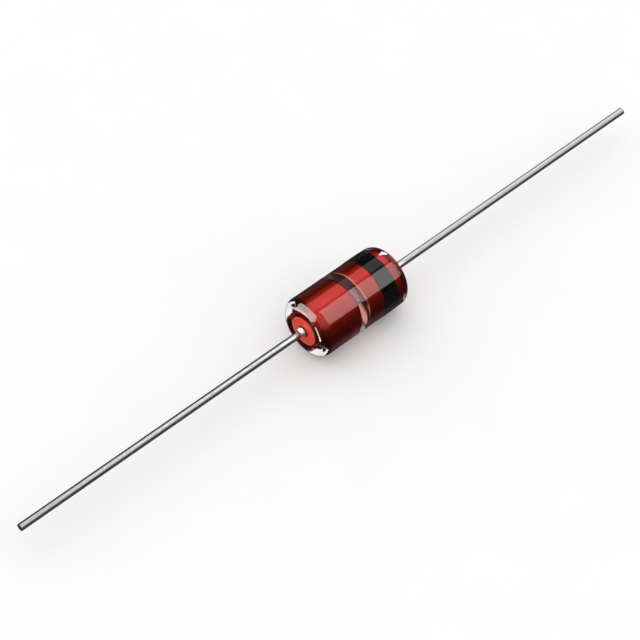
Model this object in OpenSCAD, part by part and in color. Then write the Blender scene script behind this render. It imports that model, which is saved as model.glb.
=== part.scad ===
// Axial glass switching diode, in millimetres.
// Two coated metal slugs are fused into a glass sleeve and press a silicon die between them.
// The glass also flows in between the slugs, up to the die, so the sleeve holds no void.
// A wire lead is butt-welded to the outer face of each slug, and a painted band marks the cathode.
// The axis of the diode is X, from the anode at -X to the cathode at +X, with the origin mid-body.

/* [Glass sleeve] */
// Outer diameter of the glass
glass_d = 2.25; // [1.9:0.05:3]
// Length of the glass over its two ends
glass_l = 3.96; // [3.2:0.02:5]
// Radius of the fire-polished round at each end
glass_round = 0.32; // [0.1:0.02:0.36]

/* [Slugs] */
// Diameter of a slug, which is the bore that the glass is fused to
slug_d = 1.46; // [1.2:0.02:1.8]
// Diameter of a slug where it comes out of the glass
slug_face_d = 1.1; // [0.7:0.02:1.18]
// Length of the sloping shoulder between a slug's side and its outer end
shoulder_l = 0.22; // [0.1:0.02:0.4]
// How far the outer face of a slug stands proud of the glass
slug_proud = 0.03; // [0.01:0.01:0.1]
// Edge break at the inner end of a slug
slug_break = 0.06; // [0.01:0.01:0.1]

/* [Die] */
// Side of the square silicon die
die_w = 0.36; // [0.25:0.01:0.6]
// Thickness of the die
die_t = 0.15; // [0.12:0.01:0.4]
// Turn of the die about the axis
die_turn = 34; // [0:1:90]
// Diameter of the silver contact bump on the die's anode side
bump_d = 0.3; // [0.2:0.01:0.4]
// Height of the bump between the die and the anode slug
bump_h = 0.11; // [0.08:0.01:0.25]
// How far the bump's squeezed side bulges beyond its two flats
bump_bulge = 0.04; // [0.01:0.01:0.08]

/* [Leads] */
// Diameter of the lead wire
lead_d = 0.26; // [0.2:0.01:0.4]
// Length of a lead from the slug's face to its cut end
lead_l = 12; // [5:0.1:30]
// Edge break round the cut end of a lead
lead_break = 0.02; // [0.005:0.005:0.05]
// How far the weld bead spreads beyond the lead
weld_spread = 0.09; // [0.05:0.01:0.12]
// Length of wire that the weld bead climbs
weld_h = 0.11; // [0.05:0.01:0.16]

/* [Cathode band] */
// Width of the painted band
band_w = 0.66; // [0.3:0.02:1]
// Distance from the cathode end of the glass to the band
band_inset = 0.59; // [0.5:0.01:1]
// Thickness of the paint
band_t = 0.01; // [0.005:0.005:0.05]

/* [Hidden] */
$fn = 96;

glass_r = glass_d / 2;
slug_r = slug_d / 2;
slug_face_r = slug_face_d / 2;
lead_r = lead_d / 2;
weld_r = lead_r + weld_spread;
weld_sink = (weld_r ^ 2 - lead_r ^ 2 - weld_h ^ 2) / (2 * weld_h);
weld_dome_r = sqrt(weld_r ^ 2 + weld_sink ^ 2);

// Axial stations, measured from mid-body
glass_end = glass_l / 2;
slug_start = (die_t + bump_h) / 2;
slug_end = glass_end + slug_proud;
lead_end = slug_end + lead_l;
die_start = slug_start - die_t;

// The wall that a slug and the glass share, as (radius, axial) points from the slug's inner end outwards
slug_wall = [
    [slug_r - slug_break, slug_start],
    [slug_r, slug_start + slug_break],
    [slug_r, glass_end - shoulder_l],
    [slug_face_r, glass_end]
];

// Turns a profile drawn as (radius, axial) about the X axis.
module turned() {
    rotate([0, 90, 0]) rotate_extrude() children();
}

// Carries a piece drawn on the cathode side over to the anode side.
module on_anode_side() {
    mirror([1, 0, 0]) children();
}

// Half of a bar's section, with its outer edge rounded at the end that faces +X.
module rounded_end_section(r, from, to, edge) {
    difference() {
        translate([0, from]) square([r, to - from]);
        translate([r - edge, to - edge]) difference() {
            square(2 * edge);
            circle(edge);
        }
    }
}

// The cathode half of the sleeve's section: fire-polished outside, and cut inside by the slug that it is fused to.
module half_sleeve_section() {
    past = 1;
    difference() {
        rounded_end_section(glass_r, 0, glass_end, glass_round);
        polygon(concat(
            [[-past, slug_start]],
            slug_wall,
            [[slug_face_r, glass_end + past], [-past, glass_end + past]]
        ));
    }
}

module glass_sleeve() {
    color([0.92, 0.94, 0.95, 0.35]) difference() {
        turned() {
            half_sleeve_section();
            mirror([0, 1]) half_sleeve_section();
        }
        silicon_die();
        contact_bump();
    }
}

// A slug on the cathode side, from its broken inner edge to its flat outer face.
module slug() {
    turned() polygon(concat(
        [[0, slug_start]],
        slug_wall,
        [[slug_face_r, slug_end], [0, slug_end]]
    ));
}

module cathode_slug() {
    color([0.78, 0.13, 0.07]) slug();
}

module anode_slug() {
    color([0.78, 0.13, 0.07]) on_anode_side() slug();
}

// The die lies flat on the cathode slug.
module silicon_die() {
    color([0.35, 0.36, 0.4]) rotate([die_turn, 0, 0])
        translate([die_start, -die_w / 2, -die_w / 2]) cube([die_t, die_w, die_w]);
}

// The bump is squeezed between the die and the anode slug, so its side bulges between two flats.
module contact_bump() {
    bump_r = bump_d / 2;
    color([0.85, 0.85, 0.86]) turned() translate([0, -slug_start]) polygon([
        [0, 0],
        [bump_r - bump_bulge, 0],
        [bump_r, bump_h / 2],
        [bump_r - bump_bulge, bump_h],
        [0, bump_h]
    ]);
}

// The bead of weld metal round the foot of a lead: a dome whose centre lies below the slug's face.
module weld() {
    turned() intersection() {
        translate([0, slug_end - weld_sink]) circle(weld_dome_r);
        translate([lead_r, slug_end]) square(weld_r);
    }
}

module cathode_weld() {
    color([0.8, 0.81, 0.8]) weld();
}

module anode_weld() {
    color([0.8, 0.81, 0.8]) on_anode_side() weld();
}

module lead() {
    turned() polygon([
        [0, slug_end],
        [lead_r, slug_end],
        [lead_r, lead_end - lead_break],
        [lead_r - lead_break, lead_end],
        [0, lead_end]
    ]);
}

module cathode_lead() {
    color([0.75, 0.75, 0.74]) lead();
}

module anode_lead() {
    color([0.75, 0.75, 0.74]) on_anode_side() lead();
}

module cathode_band() {
    color([0.03, 0.03, 0.03]) turned()
        translate([glass_r, glass_end - band_inset - band_w]) square([band_t, band_w]);
}

glass_sleeve();
cathode_band();
anode_slug();
cathode_slug();
silicon_die();
contact_bump();
anode_weld();
cathode_weld();
anode_lead();
cathode_lead();
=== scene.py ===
import math

import bmesh
import bpy
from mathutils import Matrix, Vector


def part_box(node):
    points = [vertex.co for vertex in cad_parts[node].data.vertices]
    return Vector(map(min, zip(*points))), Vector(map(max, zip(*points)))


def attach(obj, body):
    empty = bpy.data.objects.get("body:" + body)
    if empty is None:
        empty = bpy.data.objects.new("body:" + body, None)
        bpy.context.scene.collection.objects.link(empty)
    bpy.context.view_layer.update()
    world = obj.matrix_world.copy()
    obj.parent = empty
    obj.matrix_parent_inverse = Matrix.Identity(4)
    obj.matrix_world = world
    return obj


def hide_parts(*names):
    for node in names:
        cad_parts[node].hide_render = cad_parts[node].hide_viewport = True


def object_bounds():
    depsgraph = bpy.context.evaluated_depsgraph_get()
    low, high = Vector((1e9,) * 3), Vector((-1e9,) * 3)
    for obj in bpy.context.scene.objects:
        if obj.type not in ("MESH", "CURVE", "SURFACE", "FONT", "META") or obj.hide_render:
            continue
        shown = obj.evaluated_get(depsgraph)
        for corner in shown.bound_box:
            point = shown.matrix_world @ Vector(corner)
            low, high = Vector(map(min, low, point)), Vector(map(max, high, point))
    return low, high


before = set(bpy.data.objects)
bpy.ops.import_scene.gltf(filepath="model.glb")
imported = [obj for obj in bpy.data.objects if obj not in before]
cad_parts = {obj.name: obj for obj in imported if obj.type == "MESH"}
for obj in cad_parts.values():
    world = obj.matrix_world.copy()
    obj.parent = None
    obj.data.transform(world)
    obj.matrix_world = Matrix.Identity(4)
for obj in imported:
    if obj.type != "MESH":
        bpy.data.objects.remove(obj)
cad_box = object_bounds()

# Lengths below are in millimetres and angles in degrees, unless a comment says otherwise.
MM = 0.001

# Sizes of the diode that the boxes of its nodes don't give
GLASS_ROUND = 0.32
SLUG_FACE_R = 0.55
SHOULDER_L = 0.22
RIM_ROUND = 0.13
FACE_BREAK = 0.006
BUMP_BULGE = 0.04
LEAD_BREAK = 0.02
# Length of wire that the weld climbs past its CAD node
BEAD_CLIMB = 0.06
# Heights on the weld where the slug's red coat, whose dark red also stands as painted shade round the
# bead's foot, starts to fade and where it is gone
COAT_AND_SHADE_CREEP = (0.06, 0.08)

# Fits between pieces: glass sinks a little into what it is fused to, and paint lies on a film of air
FUSE = 0.006
AIR_FILM = 0.001

# Fineness of the turned meshes
BODY_SEGMENTS = 192
WIRE_SEGMENTS = 64
BODY_STEP = 0.05
WIRE_STEP = 0.12
ARC_STEP = 4
SHARP_ANGLE = 35

# The photograph's width in pixels, and the camera that took it
IMAGE_SIZE = 640
SENSOR = 36
FOCAL_PIXELS = 2231
CAMERA_AZIMUTH = -43.34
CAMERA_ELEVATION = 47.21
CAMERA_DISTANCE = 75.5
AIM_RIGHT = -0.904
AIM_UP = -0.632


def span(node):
    """Ends along X and outer radius of a round node, in millimetres."""
    low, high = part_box(node)
    return low.x / MM, high.x / MM, high.z / MM


def arc(centre_x, centre_r, radius, start, end):
    """Points of a circular arc as (x, radius). Angle 0 points along +X, and 90 away from the axis."""
    steps = max(2, round(abs(end - start) / ARC_STEP))
    angles = [math.radians(start + (end - start) * i / steps) for i in range(steps + 1)]
    return [(centre_x + radius * math.cos(a), centre_r + radius * math.sin(a)) for a in angles]


def refined(line, step):
    """The same run of points with no stretch longer than the step."""
    points = [line[0]]
    for (x0, r0), (x1, r1) in zip(line, line[1:]):
        count = max(1, math.ceil(math.hypot(x1 - x0, r1 - r0) / step))
        points += [(x0 + (x1 - x0) * i / count, r0 + (r1 - r0) * i / count) for i in range(1, count + 1)]
    return points


def mirrored(section):
    """A section of the cathode side carried over to the anode side."""
    return [(-x, r) for x, r in reversed(section)]


def mesh_piece(name, bm):
    """A smooth-shaded object from a bmesh, with its real corners kept sharp."""
    bmesh.ops.recalc_face_normals(bm, faces=bm.faces)
    mesh = bpy.data.meshes.new(name)
    bm.to_mesh(mesh)
    bm.free()
    mesh.shade_smooth()
    mesh.set_sharp_from_angle(angle=math.radians(SHARP_ANGLE))
    piece = bpy.data.objects.new(name, mesh)
    bpy.context.scene.collection.objects.link(piece)
    return piece


def turned(name, section, segments, step, ring=False):
    """A solid turned about X. A ring's section is closed on itself, clear of the axis."""
    section = refined(section + section[:1] if ring else section, step)
    bm = bmesh.new()
    loops = []
    for x, r in section[:-1] if ring else section:
        count = segments if r > 0 else 1
        turns = [2 * math.pi * i / segments for i in range(count)]
        points = [Vector((x, r * math.cos(t), r * math.sin(t))) for t in turns]
        loops.append([bm.verts.new(p * MM) for p in points])
    for a, b in zip(loops, loops[1:] + loops[:1] if ring else loops[1:]):
        for i in range(segments):
            j = (i + 1) % segments
            corners = [a[i % len(a)], a[j % len(a)], b[j % len(b)], b[i % len(b)]]
            bm.faces.new(list(dict.fromkeys(corners)))
    return mesh_piece(name, bm)


def settle(piece, node, material):
    """Puts a piece in its node's place and its material."""
    piece.data.materials.append(material)
    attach(piece, "root")
    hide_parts(node)


# Materials

# The part of a noise's range that holds most of its values
NOISE_MIDDLE = (0.3, 0.7)


class Surface:
    """A Principled material and the node helpers of its recipe, with textures laid out in millimetres."""

    def __init__(self, name, **sockets):
        self.material = bpy.data.materials.new(name)
        self.material.use_nodes = True
        self.tree = self.material.node_tree
        self.shader = self.tree.nodes["Principled BSDF"]
        for socket, value in sockets.items():
            self.shader.inputs[socket.replace("_", " ")].default_value = value

    def node(self, kind, **inputs):
        made = self.tree.nodes.new(kind)
        for socket, value in inputs.items():
            made.inputs[socket].default_value = value
        return made

    def join(self, source, target):
        self.tree.links.new(source, target)

    def noise(self, scale, detail=3.0, stretch=(1, 1, 1)):
        """Soft noise with scale features to the millimetre, fewer where an axis has a stretch below 1."""
        coords = self.node("ShaderNodeTexCoord")
        mapping = self.node("ShaderNodeMapping", Scale=[s / MM for s in stretch])
        texture = self.node("ShaderNodeTexNoise", Scale=scale, Detail=detail)
        self.join(coords.outputs["Object"], mapping.inputs["Vector"])
        self.join(mapping.outputs["Vector"], texture.inputs["Vector"])
        return texture.outputs["Fac"]

    def ramp(self, factor, *stops):
        """Runs from one colour to the other as the factor passes from the first place to the second."""
        ramp = self.node("ShaderNodeValToRGB")
        self.join(factor, ramp.inputs["Fac"])
        for element, (place, colour) in zip(ramp.color_ramp.elements, stops):
            element.position = place
            element.color = (*colour, 1)
        return ramp.outputs["Color"]

    def colours(self, factor, *stops):
        self.join(self.ramp(factor, *stops), self.shader.inputs["Base Color"])

    def spread(self, factor, low, high):
        """Carries the middle of a noise over to a range of values."""
        bottom, top = NOISE_MIDDLE
        limits = {"From Min": bottom, "From Max": top, "To Min": low, "To Max": high}
        spread = self.node("ShaderNodeMapRange", **limits)
        self.join(factor, spread.inputs["Value"])
        return spread.outputs["Result"]

    def roughness(self, factor, low, high):
        self.join(self.spread(factor, low, high), self.shader.inputs["Roughness"])

    def blend(self, factor, first, second):
        """The first colour or value where the factor is 0, and the second where it is 1."""
        mix = self.node("ShaderNodeMixRGB")
        self.join(factor, mix.inputs["Fac"])
        self.join(first, mix.inputs["Color1"])
        self.join(second, mix.inputs["Color2"])
        return mix.outputs["Color"]

    def zone(self, start, end):
        """0 at the first distance from mid-body and 1 at the second, and held beyond them, along X."""
        coords = self.node("ShaderNodeTexCoord")
        parts = self.node("ShaderNodeSeparateXYZ")
        distance = self.node("ShaderNodeMath")
        distance.operation = "ABSOLUTE"
        zone = self.node("ShaderNodeMapRange", **{"From Min": start * MM, "From Max": end * MM})
        self.join(coords.outputs["Object"], parts.inputs["Vector"])
        self.join(parts.outputs["X"], distance.inputs[0])
        self.join(distance.outputs["Value"], zone.inputs["Value"])
        return zone.outputs["Result"]

    def bump(self, height, depth):
        """Small relief, with its depth in millimetres."""
        relief = self.node("ShaderNodeBump", Strength=1.0, Distance=depth * MM)
        self.join(height, relief.inputs["Height"])
        self.join(relief.outputs["Normal"], self.shader.inputs["Normal"])


def clear_glass():
    s = Surface("clear_glass", IOR=1.47, Transmission_Weight=1.0)
    s.colours(s.noise(0.8), (0.3, (0.97, 0.98, 0.98)), (0.7, (0.99, 0.995, 0.995)))
    s.roughness(s.noise(2.0), 0.0, 0.004)
    s.bump(s.noise(1.2, detail=1.0), 0.0004)
    return s.material


def black_paint():
    s = Surface("black_paint", IOR=1.5)
    s.colours(s.noise(6.0), (0.3, (0.002, 0.002, 0.002)), (0.8, (0.006, 0.006, 0.007)))
    s.roughness(s.noise(9.0), 0.02, 0.06)
    s.bump(s.noise(14.0), 0.0002)
    return s.material


def red_slug():
    """Red oxide coat: paler on the inner end, glossy under the glass, and satin on the bare outer face."""
    s = Surface("red_slug", Specular_IOR_Level=0.12)
    start, _, _ = span("cathode_slug")
    _, glass_end, _ = span("glass_sleeve")
    thin = s.zone(start + RIM_ROUND, start + RIM_ROUND / 2)
    covered = s.zone(glass_end + FACE_BREAK, glass_end)
    mottle = s.noise(3.0, detail=4.0)
    grain = s.noise(8.0)
    thin_coat = s.ramp(mottle, (0.25, (0.62, 0.17, 0.13)), (0.75, (0.72, 0.22, 0.17)))
    full_coat = s.ramp(mottle, (0.25, (0.58, 0.025, 0.014)), (0.75, (0.68, 0.036, 0.022)))
    bare_coat = s.ramp(mottle, (0.25, (0.66, 0.062, 0.043)), (0.75, (0.76, 0.082, 0.056)))
    colour = s.blend(covered, bare_coat, s.blend(thin, full_coat, thin_coat))
    roughness = s.blend(covered, s.spread(grain, 0.26, 0.34), s.spread(grain, 0.12, 0.17))
    s.join(colour, s.shader.inputs["Base Color"])
    s.join(roughness, s.shader.inputs["Roughness"])
    s.join(covered, s.shader.inputs["Metallic"])
    s.bump(s.noise(30.0, detail=4.0), 0.0003)
    return s.material


def silicon():
    s = Surface("silicon", Metallic=1.0)
    s.colours(s.noise(20.0), (0.3, (0.46, 0.47, 0.48)), (0.7, (0.52, 0.53, 0.54)))
    s.roughness(s.noise(30.0), 0.2, 0.35)
    return s.material


def silver():
    s = Surface("silver", Metallic=1.0)
    s.colours(s.noise(25.0), (0.3, (0.78, 0.77, 0.75)), (0.7, (0.90, 0.89, 0.87)))
    s.roughness(s.noise(40.0), 0.2, 0.3)
    s.bump(s.noise(40.0), 0.0005)
    return s.material


def weld_metal():
    """Bright melted metal, with a little of the slug's red coat crept up its foot; that dark red foot is
    also a painted shadow ring where the bead meets the slug.
    """
    s = Surface("weld_metal", Metallic=1.0)
    start, _, _ = span("cathode_weld")
    past_coat_and_shade = s.zone(*(start + creep for creep in COAT_AND_SHADE_CREEP))
    mottle = s.noise(18.0)
    metal = s.ramp(mottle, (0.3, (0.54, 0.54, 0.52)), (0.65, (0.70, 0.70, 0.68)))
    # The dark red foot: the slug's oxide coat, and painted shade where the bead meets the slug's face
    coat = s.ramp(mottle, (0.3, (0.42, 0.03, 0.02)), (0.65, (0.5, 0.04, 0.03)))
    s.join(s.blend(past_coat_and_shade, coat, metal), s.shader.inputs["Base Color"])
    s.roughness(s.noise(25.0), 0.34, 0.46)
    s.bump(s.noise(22.0), 0.002)
    return s.material


def tinned_wire():
    s = Surface("tinned_wire", Metallic=1.0)
    streaks = s.noise(30.0, detail=5.0, stretch=(0.04, 1, 1))
    s.colours(s.noise(4.0, detail=6.0), (0.3, (0.73, 0.73, 0.725)), (0.7, (0.81, 0.81, 0.80)))
    s.roughness(streaks, 0.20, 0.28)
    s.bump(streaks, 0.0008)
    return s.material


# Pieces of the diode

def glass_half():
    """The sleeve's wall on the cathode side, from the middle over the round to the slug's inner end."""
    _, end, r = span("glass_sleeve")
    slug_start, _, slug_r = span("cathode_slug")
    mouth = SLUG_FACE_R - FUSE
    bore = slug_r - FUSE
    half = [(0, r)]
    half += arc(end - GLASS_ROUND, r - GLASS_ROUND, GLASS_ROUND, 90, 0)
    half += [(end, mouth), (end - SHOULDER_L, bore), (slug_start + RIM_ROUND + FUSE, bore)]
    half += [(slug_start + FUSE, bore - RIM_ROUND)]
    return half


def glass_section():
    """The closed section of the sleeve, whose core is buried in the die and the contact bump."""
    _, die_end, _ = span("silicon_die")
    bump_start, _, bump_r = span("contact_bump")
    core = bump_r - BUMP_BULGE - FUSE
    half = glass_half()
    return half + [(die_end + FUSE, core), (bump_start - FUSE, core)] + mirrored(half)[:-1]


def slug_section():
    start, end, r = span("cathode_slug")
    _, glass_end, _ = span("glass_sleeve")
    return [
        (start, 0),
        *arc(start + RIM_ROUND, r - RIM_ROUND, RIM_ROUND, 180, 90),
        (glass_end - SHOULDER_L, r),
        (glass_end, SLUG_FACE_R),
        *arc(end - FACE_BREAK, SLUG_FACE_R - FACE_BREAK, FACE_BREAK, 90, 0),
        (end, 0),
    ]


def bump_section():
    """A button squeezed between two flats, with a round bulging side."""
    start, end, r = span("contact_bump")
    half = (end - start) / 2
    bend = (half ** 2 + BUMP_BULGE ** 2) / (2 * BUMP_BULGE)
    lean = math.degrees(math.asin(half / bend))
    return [(start, 0)] + arc((start + end) / 2, r - bend, bend, 90 + lean, 90 - lean) + [(end, 0)]


def weld_section():
    """A bead that climbs the wire, with its inner side buried in it."""
    start, end, r = span("cathode_weld")
    _, _, lead_r = span("cathode_lead")
    end += BEAD_CLIMB
    height = end - start
    sink = (r ** 2 - lead_r ** 2 - height ** 2) / (2 * height)
    dome_r = math.hypot(r, sink)
    foot = math.degrees(math.asin(sink / dome_r))
    top = math.degrees(math.asin((sink + height) / dome_r))
    outline = arc(0, 0, dome_r, foot, top)
    dome = [(start - sink + y, x) for x, y in outline]
    return dome + [(end, lead_r - FUSE), (start, lead_r - FUSE)]


def lead_section():
    start, end, r = span("cathode_lead")
    edge = arc(end - LEAD_BREAK, r - LEAD_BREAK, LEAD_BREAK, 90, 0)
    return [(start, 0), (start, r), *edge, (end, 0)]


def band_section():
    """Paint with soft edges, on a film of air that keeps its underside out of the glass's reflections."""
    start, end, r = span("cathode_band")
    _, _, glass_r = span("glass_sleeve")
    inner = glass_r + AIR_FILM
    coat = r - inner
    lip = arc(end - coat, inner, coat, 0, 90)
    middle = (start + end) / 2
    return lip + [(2 * middle - x, y) for x, y in reversed(lip)]


def make_pieces():
    """Makes every piece, and returns those that the strongest cards light."""
    glass = turned("glass_envelope", glass_section(), BODY_SEGMENTS, BODY_STEP, ring=True)
    settle(glass, "glass_sleeve", clear_glass())

    band = turned("painted_band", band_section(), BODY_SEGMENTS, BODY_STEP, ring=True)
    settle(band, "cathode_band", black_paint())
    # Rays that leave the glass under the band go on to the cards
    band.visible_transmission = False

    glossy = [glass, band]
    red = red_slug()
    weld = weld_metal()
    wire = tinned_wire()
    for side, face in (("cathode", list), ("anode", mirrored)):
        slug = turned(f"{side}_plug", face(slug_section()), BODY_SEGMENTS, BODY_STEP)
        settle(slug, f"{side}_slug", red)
        bead = turned(f"{side}_bead", face(weld_section()), WIRE_SEGMENTS, BODY_STEP, ring=True)
        settle(bead, f"{side}_weld", weld)
        glossy.append(bead)
        lead = turned(f"{side}_wire", face(lead_section()), WIRE_SEGMENTS, WIRE_STEP)
        settle(lead, f"{side}_lead", wire)

    button = turned("contact_button", bump_section(), WIRE_SEGMENTS, BODY_STEP)
    settle(button, "contact_bump", silver())
    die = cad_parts["silicon_die"]
    die.data.materials.clear()
    die.data.materials.append(silicon())
    return glossy


# Studio

# Two sets of cards light the diode. Surfaces that mirror see one set, and rays that come out of the glass
# see the other. Both are shells with this radius and half length, and with bright and dark pieces inside.
SHELL_RADIUS = 220
SHELL_HALF = 300
# An arch is a list of angles, from the front horizon over the top to the back, each with its level
MIRROR_ARCH = [
    (0, 0.01), (21.5, 0.01), (22.5, 0.36), (56, 0.40), (81, 0.45), (82.5, 0.20),
    (89.5, 0.20), (90.5, 0.84), (128, 0.84), (129, 0.02), (160, 0.02), (180, 0.10),
]
INNER_ARCH_CATHODE = [
    (0, 0.2), (5, 0.23), (17, 0.44), (29, 0.52), (40, 0.64), (75, 0.74), (86, 0.84),
    (92, 0.74), (104, 1.0), (130, 1.0), (150, 0.75), (166, 0.41), (180, 0.22),
]
INNER_ARCH_SHOULDER = [(0, 0.1), (30, 0.12), (60, 0.15), (110, 0.2), (130, 0.8), (180, 1.0)]
INNER_ARCH_ANODE = [(0, 1.6), (130, 1.6), (140, 1.0), (168, 1.0), (172, 0.2), (180, 0.2)]
SHOULDER_FROM = -105
ANODE_END_LEVELS = {"mirrors": 0.03, "glass": 1.0}
CATHODE_END_LEVELS = {"mirrors": 0.03, "glass": 0.48}
# Light of the cards on the floor, by the distance in Y from the diode's axis
MIRROR_FLOOR = [
    (-SHELL_RADIUS, 0.02), (-2.2, 0.03), (-1.5, 0.13), (-1.2, 0.11), (-0.95, 0.05), (SHELL_RADIUS, 0.05),
]
INNER_FLOOR = [(-SHELL_RADIUS, 0.2), (-8, 0.15), (-2.1, 0.08), (-1.6, 0.05), (0.2, 0.04), (1.5, 0.08)]
# Behind the diode the inner card has a slanting edge, and past it, towards the anode, the floor is bare
INNER_FLOOR_BACK = [
    ([(-0.5, 1.5), (SHELL_HALF, 1.5)], 0.11),
    ([(-116, SHELL_RADIUS), (SHELL_HALF, SHELL_RADIUS)], 0.20),
]
# How far these cards and those on top of them lie above the floor
CARD_LIFT = 0.01
FOOT_LIFT = 0.02

# Bright pieces for rays out of the glass: a one-sided card in front for the rim of the cathode slug
RIM_CARD_X = -0.45
RIM_CARD_FRONT = -2.7
RIM_CARD_EDGE = [(-0.6, -1.13), (-0.9, -0.75), (-1.2, -0.05)]
RIM_CARD_LEVEL = 1.1
# A low strip under the body for the gap between the slugs
GAP_STRIP_ALONG = (-0.6, -0.12)
GAP_STRIP_Y = 0.63
GAP_STRIP_TOP = -1.03
GAP_STRIP_LEVEL = 1.0
# A collar past the cathode end, for rays that run along the glass from the anode end
COLLAR_ANGLES = (8, 40, 70, 102)
COLLAR_RADIUS = 1.5
COLLAR_ALONG = (2.12, 3.1)
COLLAR_LEVEL = 1.1
# A wide panel past the anode
ANODE_PANEL_X = -120
ANODE_PANEL_SIZE = 150
ANODE_PANEL_LEVEL = 1.8

# The key panel, by its angles round the axis and its stretch along X
KEY_ANGLES = (22.7, 81.5)
KEY_ALONG = (51, 200)
KEY_DISTANCE = 140
KEY_LEVEL = 3.15

# A bright panel past the anode, as rows of points: its foot runs over the floor to near the glass
SIDE_FOOT = [[(-3.35, 0.8), (-3.35, 2.2)], [(-8.2, 0.8), (-6.2, 4.9)], [(-100, 3), (-100, 115)]]
SIDE_TOP = [(-100, -40, 124), (-100, 282, 173)]
SIDE_LEVEL = 8.0
# A thin tail of it on the floor, which draws the line down the edge of the anode end's flat
SIDE_TAIL = [
    [(-3.13, 0.69), (-5.5, 0.6)],
    [(-3.06, 0.62), (-4.3, 0.51)],
    [(-2.99, 0.47), (-3.7, 0.34)],
    [(-2.9, 0.3), (-3.36, 0.16)],
    [(-2.82, 0.16), (-3.2, 0.0)],
    [(-2.74, 0.0), (-3.1, -0.25)],
]

# A one-sided baffle at the foot of the anode end's round. It shows the mirrors' arch to rays that leave
# the barrel towards the anode, so that the side panel doesn't burn it out in views from the cathode side.
BAFFLE_X = -1.7
BAFFLE_RADII = (1.135, 60)
BAFFLE_STEP = 6

# A small bright panel that draws the glint on the cathode end's round. It is close to the glass, so that
# the barrel hardly sees it in other views.
GLINT = [
    [(1.70, 0.045), (1.60, 0.15), (1.76, 0.21)],
    [(1.83, -0.02), (1.88, 0.18), (1.95, 0.34)],
    [(2.69, 0.26), (2.55, 0.43), (2.45, 0.63)],
]
GLINT_HEIGHT = 1.25
GLINT_LEVEL = 16

# Shades round the leads that keep the key panel off the wires, as angles and levels
ANODE_SHADE = [(18, 0.25), (24, 0.42), (40, 0.58), (56, 0.64), (71, 0.68)]
ANODE_SHADE_RADIUS = 6
ANODE_SHADE_ALONG = (-14, 0.75)
CATHODE_SHADE = [
    (15, 0.05), (19, 0.36), (30, 0.52), (56, 0.64), (85, 0.80), (116, 0.95), (140, 0.9), (150, 0.5),
]
CATHODE_SHADE_RADIUS = 1.6
CATHODE_SHADE_ALONG = (3.3, 17)

FLOOR_SIZE = 1600
WORLD_LEVEL = 1.0


def round_axis(angle, distance):
    """(y, z) at a distance from the X axis, with the angle measured from the front horizon upwards."""
    a = math.radians(angle)
    return -distance * math.cos(a), distance * math.sin(a)


def graded_light(name, one_sided):
    """Light of the level that the mesh carries at each point. A one-sided card's front is clear."""
    material = bpy.data.materials.new(name)
    material.use_nodes = True
    nodes = material.node_tree.nodes
    links = material.node_tree.links
    nodes.clear()
    level = nodes.new("ShaderNodeAttribute")
    level.attribute_name = "level"
    glow = nodes.new("ShaderNodeEmission")
    output = nodes.new("ShaderNodeOutputMaterial")
    links.new(level.outputs["Fac"], glow.inputs["Strength"])
    lit = glow.outputs["Emission"]
    if one_sided:
        side = nodes.new("ShaderNodeNewGeometry")
        clear = nodes.new("ShaderNodeBsdfTransparent")
        choice = nodes.new("ShaderNodeMixShader")
        links.new(side.outputs["Backfacing"], choice.inputs["Fac"])
        links.new(clear.outputs["BSDF"], choice.inputs[1])
        links.new(lit, choice.inputs[2])
        lit = choice.outputs["Shader"]
    links.new(lit, output.inputs["Surface"])
    return material


def card(name, rows, seen_by, one_sided=False, only=None):
    """A sheet of light through rows of points, each row with its level.

    Either mirrors or rays out of the glass see it. With a list of pieces as only, it lights those and is
    dark for the rest.
    """
    bm = bmesh.new()
    layer = bm.verts.layers.float.new("level")
    made = []
    for points, level in rows:
        verts = [bm.verts.new(Vector(p) * MM) for p in points]
        for v in verts:
            v[layer] = level
        made.append(verts)
    for a, b in zip(made, made[1:]):
        for i in range(len(a) - 1):
            bm.faces.new([a[i], a[i + 1], b[i + 1], b[i]])
    piece = mesh_piece(name, bm)
    piece.data.materials.append(graded_light(f"{name}_light", one_sided))
    piece.visible_camera = False
    piece.visible_diffuse = False
    piece.visible_shadow = False
    piece.visible_glossy = seen_by == "mirrors"
    piece.visible_transmission = seen_by == "glass"
    if only:
        receivers = bpy.data.collections.new(f"{name}_receivers")
        for receiver in only:
            receivers.objects.link(receiver)
        piece.light_linking.receiver_collection = receivers


def flat_rows(rows, z):
    """Rows of (x, y) points laid flat at a height."""
    return [([(x, y, z) for x, y in points], level) for points, level in rows]


def wall_rows(x, ys, zs, level):
    """Rows of an upright wall across the X axis."""
    return [([(x, y, z) for y in ys], level) for z in zs]


def arch_card(name, levels, xs, seen_by, radius=SHELL_RADIUS):
    rows = []
    for angle, level in levels:
        y, z = round_axis(angle, radius)
        rows.append(([(x, y, z) for x in xs], level))
    card(name, rows, seen_by)


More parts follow.
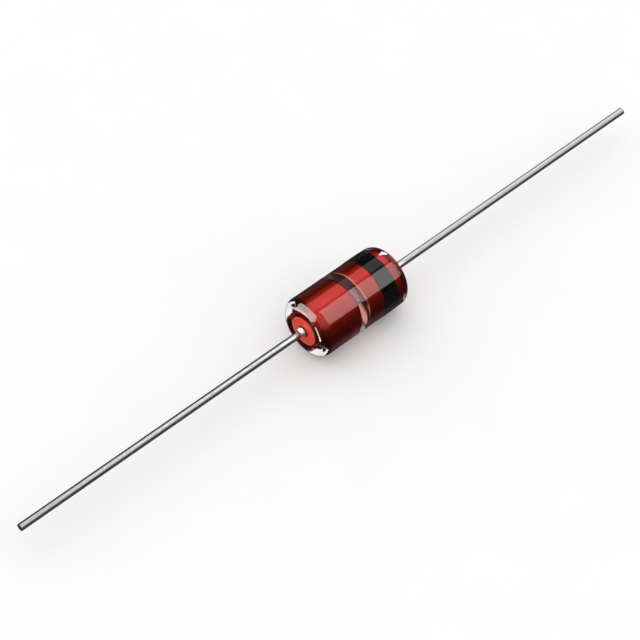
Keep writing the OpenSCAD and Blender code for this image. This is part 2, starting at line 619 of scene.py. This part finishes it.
def make_shell(floor_z):
    """Shells of graded light, which give glass and metal their soft tops and dark edges."""
    ends = (-SHELL_HALF, SHELL_HALF)
    arch_card("mirror_arch", MIRROR_ARCH, ends, "mirrors")
    arch_card("inner_arch_anode", INNER_ARCH_ANODE, (-SHELL_HALF, SHOULDER_FROM), "glass")
    arch_card("inner_arch_shoulder", INNER_ARCH_SHOULDER, (SHOULDER_FROM, 0), "glass")
    arch_card("inner_arch_cathode", INNER_ARCH_CATHODE, (0, SHELL_HALF), "glass")
    card_z = floor_z + CARD_LIFT
    mirror_rows = [([(x, y) for x in ends], level) for y, level in MIRROR_FLOOR]
    card("mirror_floor", flat_rows(mirror_rows, card_z), "mirrors")
    inner_rows = [([(x, y) for x in ends], level) for y, level in INNER_FLOOR]
    card("inner_floor", flat_rows(inner_rows, card_z), "glass")
    card("inner_floor_back", flat_rows(INNER_FLOOR_BACK, card_z), "glass")
    ys = (-SHELL_RADIUS, SHELL_RADIUS)
    zs = (floor_z, SHELL_RADIUS)
    for side, x, levels in zip(("anode", "cathode"), ends, (ANODE_END_LEVELS, CATHODE_END_LEVELS)):
        for seen_by, level in levels.items():
            card(f"{side}_end_for_{seen_by}", wall_rows(x, ys, zs, level), seen_by)


def make_bright_cards(floor_z):
    """The bright cards inside the shell that rays out of the glass see."""
    rim_rows = []
    for edge, z in RIM_CARD_EDGE:
        rim_rows.append(([(RIM_CARD_X, y, z) for y in (RIM_CARD_FRONT, edge)], RIM_CARD_LEVEL))
    card("rim_card", rim_rows, "glass", one_sided=True)
    strip_rows = []
    for z in (floor_z, GAP_STRIP_TOP):
        strip_rows.append(([(x, GAP_STRIP_Y, z) for x in GAP_STRIP_ALONG], GAP_STRIP_LEVEL))
    card("gap_strip", strip_rows, "glass")
    collar_levels = [(angle, COLLAR_LEVEL) for angle in COLLAR_ANGLES]
    arch_card("collar", collar_levels, COLLAR_ALONG, "glass", COLLAR_RADIUS)
    ys = (-ANODE_PANEL_SIZE, ANODE_PANEL_SIZE)
    zs = (floor_z, ANODE_PANEL_SIZE)
    card("anode_panel", wall_rows(ANODE_PANEL_X, ys, zs, ANODE_PANEL_LEVEL), "glass")


def make_key():
    """The bright flat panel that draws the long white stripe along the glass."""
    middle = sum(KEY_ANGLES) / 2
    reach = KEY_DISTANCE / math.cos(math.radians(KEY_ANGLES[1] - middle))
    arch_card("key_panel", [(angle, KEY_LEVEL) for angle in KEY_ANGLES], KEY_ALONG, "mirrors", reach)


def make_side(floor_z, glossy):
    """The bright panel past the anode, which draws the patch on that end's round, and its tail."""
    foot_z = floor_z + FOOT_LIFT
    foot_rows = flat_rows([(row, SIDE_LEVEL) for row in SIDE_FOOT], foot_z)
    card("side_panel", foot_rows + [(SIDE_TOP, SIDE_LEVEL)], "mirrors", only=glossy)
    tail_rows = flat_rows([(row, SIDE_LEVEL) for row in SIDE_TAIL], foot_z)
    card("side_tail", tail_rows, "mirrors", only=glossy)


def make_baffle(floor_z):
    rows = []
    for angle, level in refined(MIRROR_ARCH, BAFFLE_STEP):
        rows.append(([(BAFFLE_X, *round_axis(angle, r)) for r in BAFFLE_RADII], level))
    _, last_level = MIRROR_ARCH[-1]
    foot = [(BAFFLE_X, r, floor_z) for r in BAFFLE_RADII]
    card("anode_baffle", rows + [(foot, last_level)], "mirrors", one_sided=True)


def make_glint(glossy):
    rows = flat_rows([(row, GLINT_LEVEL) for row in GLINT], GLINT_HEIGHT)
    card("glint_panel", rows, "mirrors", only=glossy)


def make_shades():
    arch_card("anode_shade", ANODE_SHADE, ANODE_SHADE_ALONG, "mirrors", ANODE_SHADE_RADIUS)
    arch_card("cathode_shade", CATHODE_SHADE, CATHODE_SHADE_ALONG, "mirrors", CATHODE_SHADE_RADIUS)


def make_floor(floor_z):
    half = FLOOR_SIZE / 2
    bm = bmesh.new()
    corners = [(-half, -half), (half, -half), (half, half), (-half, half)]
    bm.faces.new([bm.verts.new(Vector((x, y, floor_z)) * MM) for x, y in corners])
    floor = mesh_piece("floor", bm)
    s = Surface("white_paper", Roughness=0.9, Specular_IOR_Level=0.0)
    s.colours(s.noise(0.5), (0.3, (0.985, 0.985, 0.985)), (0.7, (0.995, 0.995, 0.995)))
    floor.data.materials.append(s.material)


def make_world():
    """Even white light from all round."""
    world = bpy.data.worlds.new("studio")
    bpy.context.scene.world = world
    world.use_nodes = True
    background = world.node_tree.nodes["Background"]
    background.inputs["Color"].default_value = (1, 1, 1, 1)
    background.inputs["Strength"].default_value = WORLD_LEVEL


def make_camera():
    a = math.radians(CAMERA_AZIMUTH)
    e = math.radians(CAMERA_ELEVATION)
    back = Vector((math.sin(a) * math.cos(e), -math.cos(a) * math.cos(e), math.sin(e)))
    right = Vector((math.cos(a), math.sin(a), 0))
    up = back.cross(right)
    aim = right * AIM_RIGHT + up * AIM_UP
    data = bpy.data.cameras.new("camera")
    data.sensor_width = SENSOR
    data.lens = FOCAL_PIXELS * SENSOR / IMAGE_SIZE
    data.clip_start = MM
    camera = bpy.data.objects.new("camera", data)
    camera.location = (aim + back * CAMERA_DISTANCE) * MM
    camera.rotation_euler = back.to_track_quat("Z", "Y").to_euler()
    bpy.context.scene.collection.objects.link(camera)
    bpy.context.scene.camera = camera


def make_studio(glossy):
    floor_z = cad_box[0].z / MM
    make_floor(floor_z)
    make_shell(floor_z)
    make_bright_cards(floor_z)
    make_key()
    make_side(floor_z, glossy)
    make_baffle(floor_z)
    make_glint(glossy)
    make_shades()
    make_world()
    make_camera()
    bpy.context.scene.view_settings.view_transform = "Standard"


glossy_pieces = make_pieces()
make_studio(glossy_pieces)
